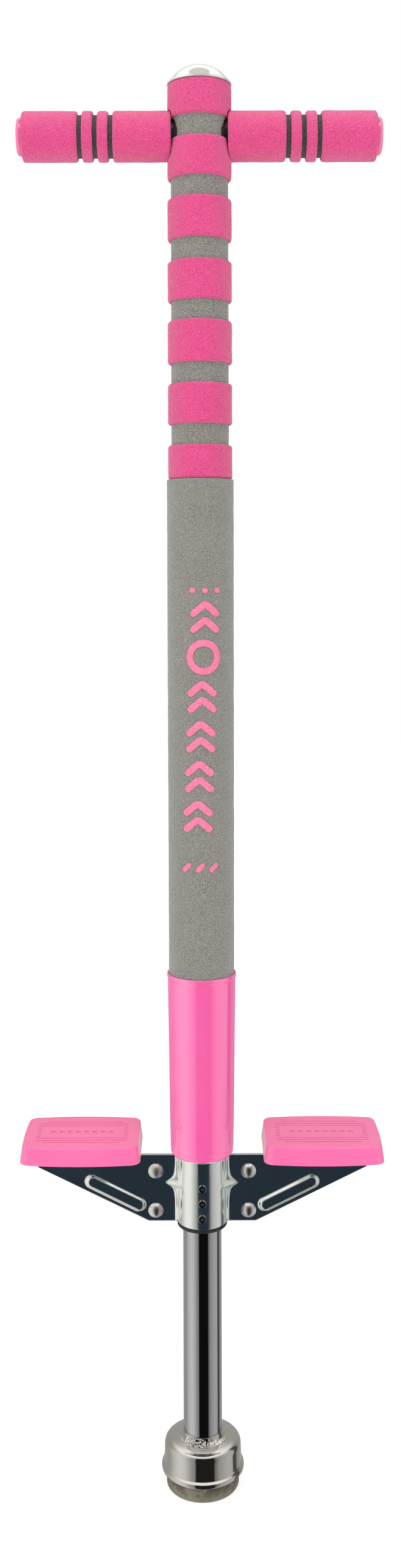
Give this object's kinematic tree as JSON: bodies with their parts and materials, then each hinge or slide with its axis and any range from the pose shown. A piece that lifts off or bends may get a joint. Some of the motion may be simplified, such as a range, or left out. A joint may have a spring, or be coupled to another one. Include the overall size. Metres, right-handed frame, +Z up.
{
  "type": "pogo stick",
  "caption": "Child's spring pogo stick: foam-covered upright and crossbar, bracketed footrests, and a sprung chrome plunger on a rubber foot.",
  "frame": {"origin": "on the floor, at the bottom centre of the rubber foot, on the upright's axis", "axes": "+Z up along the upright, X along the crossbar with the right grip at +X, -Y is the front with the rivets and the graphic"},
  "size_m": [0.2422, 0.06, 0.9373],
  "materials": {
    "black_paint": "gloss black powder coat",
    "cap_plastic": "satin silver-white moulding",
    "pink_plastic": "glossy bright pink moulding",
    "pink_foam": "fine-celled matt foam",
    "grey_foam": "fine-celled matt foam",
    "dark_foam": "fine-celled matt foam",
    "zinc_plate": "bright zinc plate",
    "rivet_steel": "bright steel",
    "chrome_plate": "mirror chrome",
    "black_plastic": "smooth black nylon",
    "white_nylon": "natural nylon",
    "black_rubber": "matt black",
    "spring_steel": "oiled spring wire",
    "gum_rubber": "tan gum rubber, scuffed"
  },
  "bodies": {
    "frame": {"outer_tube": "black_paint", "handlebar_tube": "black_paint", "handlebar_weld": "black_paint", "top_cap": "cap_plastic", "left_end_cap": "pink_plastic", "right_end_cap": "pink_plastic", "left_grip_core": "dark_foam", "right_grip_core": "dark_foam", "left_grip_bands": "pink_foam", "right_grip_bands": "pink_foam", "stem_foam_core": "grey_foam", "stem_foam_bands": "pink_foam", "main_foam_sleeve": "grey_foam", "lower_guard_sleeve": "pink_plastic", "bracket_front": "zinc_plate", "bracket_rear": "zinc_plate", "bracket_rivets": "rivet_steel", "bush_rivets": "rivet_steel", "left_foot_pad": "pink_plastic", "right_foot_pad": "pink_plastic", "left_pad_screws": "rivet_steel", "right_pad_screws": "rivet_steel", "lower_bush": "black_plastic", "rebound_bumper": "black_rubber", "spring_stop_plug": "rivet_steel", "spring_stop_pin": "rivet_steel", "main_spring": "spring_steel"},
    "spring_seat": {"spring_seat": "white_nylon"},
    "plunger": {"plunger_shaft": "chrome_plate", "stop_collar": "rivet_steel", "foot_cup": "chrome_plate", "foot_weld": "chrome_plate", "rubber_tip": "gum_rubber"}
  },
  "joints": [
    {"name": "plunger_slide", "type": "slide", "parent": "frame", "child": "spring_seat", "axis": [0, 0, 1], "range_m": [0, 0.1], "stiffness_N_per_m": 5000, "springref_m": -0.03, "deforming": ["main_spring"]},
    {"name": "plunger_spin", "type": "hinge", "parent": "spring_seat", "child": "plunger", "pos_m": [0, 0, 0.345], "axis": [0, 0, 1], "continuous": true}
  ]
}
